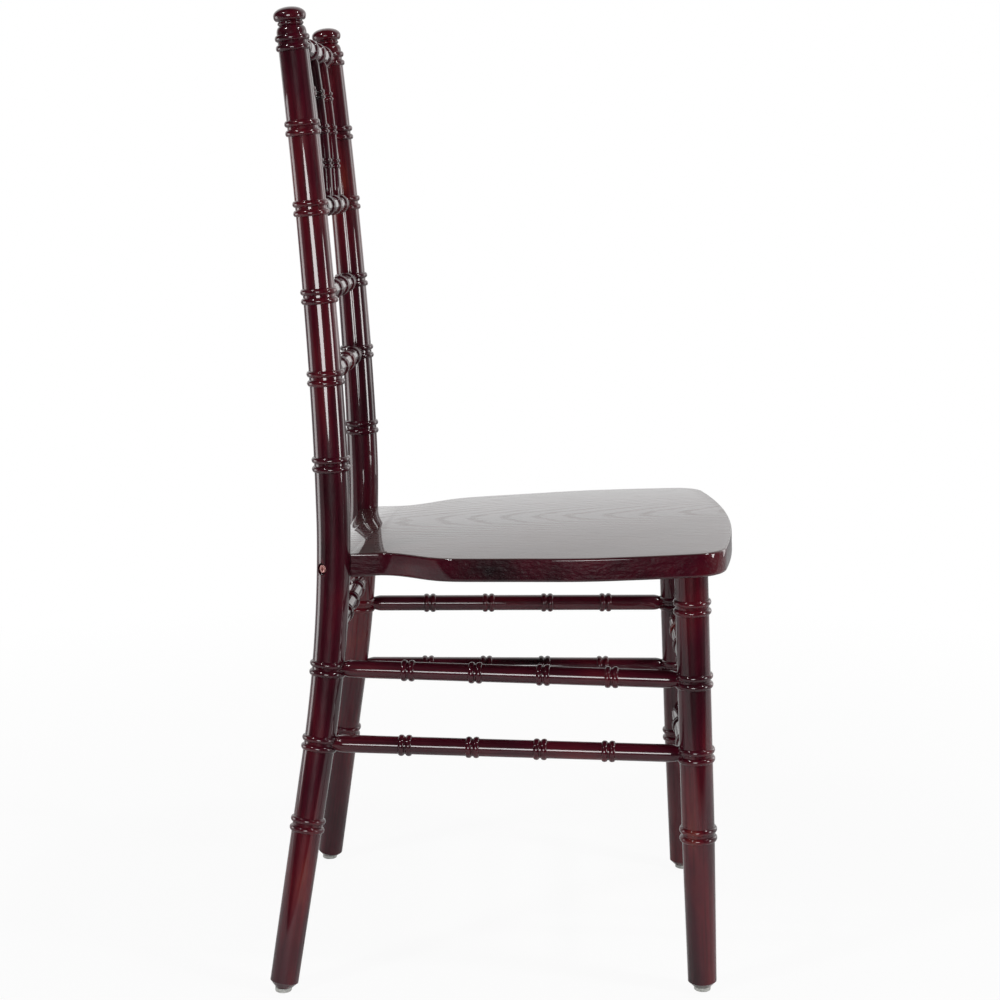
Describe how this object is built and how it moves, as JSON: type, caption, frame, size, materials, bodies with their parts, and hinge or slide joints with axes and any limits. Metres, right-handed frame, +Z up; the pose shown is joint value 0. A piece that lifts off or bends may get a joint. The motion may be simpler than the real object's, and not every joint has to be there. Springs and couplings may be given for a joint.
{
  "type": "chiavari chair",
  "caption": "Lacquered wooden side chair with ringed, turned legs and posts, a waisted flat seat, a ladder back with small spindles, and turned stretchers.",
  "frame": {"origin": "on the floor, under the middle of the chair's overall length and width", "axes": "+X to the sitter's left, -Y to the chair's front, +Z up"},
  "size_m": [0.4042, 0.4474, 0.9274],
  "materials": {
    "lacquered_wood": "gloss",
    "seat_wood": "gloss",
    "screw_steel": "gloss",
    "glide_plastic": "satin"
  },
  "bodies": {
    "root": {"rear_post_left": "lacquered_wood", "rear_post_right": "lacquered_wood", "front_leg_left": "lacquered_wood", "front_leg_right": "lacquered_wood", "seat": "seat_wood", "crest_rail": "lacquered_wood", "second_back_rail": "lacquered_wood", "third_back_rail": "lacquered_wood", "fourth_back_rail": "lacquered_wood", "back_spindle_left": "lacquered_wood", "back_spindle_centre": "lacquered_wood", "back_spindle_right": "lacquered_wood", "side_stretcher_upper_left": "lacquered_wood", "side_stretcher_upper_right": "lacquered_wood", "side_stretcher_lower_left": "lacquered_wood", "side_stretcher_lower_right": "lacquered_wood", "front_rung_upper": "lacquered_wood", "front_rung_lower": "lacquered_wood", "rear_rung": "lacquered_wood", "seat_screws": "screw_steel", "front_glide_left": "glide_plastic", "front_glide_right": "glide_plastic", "rear_glide_left": "glide_plastic", "rear_glide_right": "glide_plastic"}
  },
  "joints": []
}
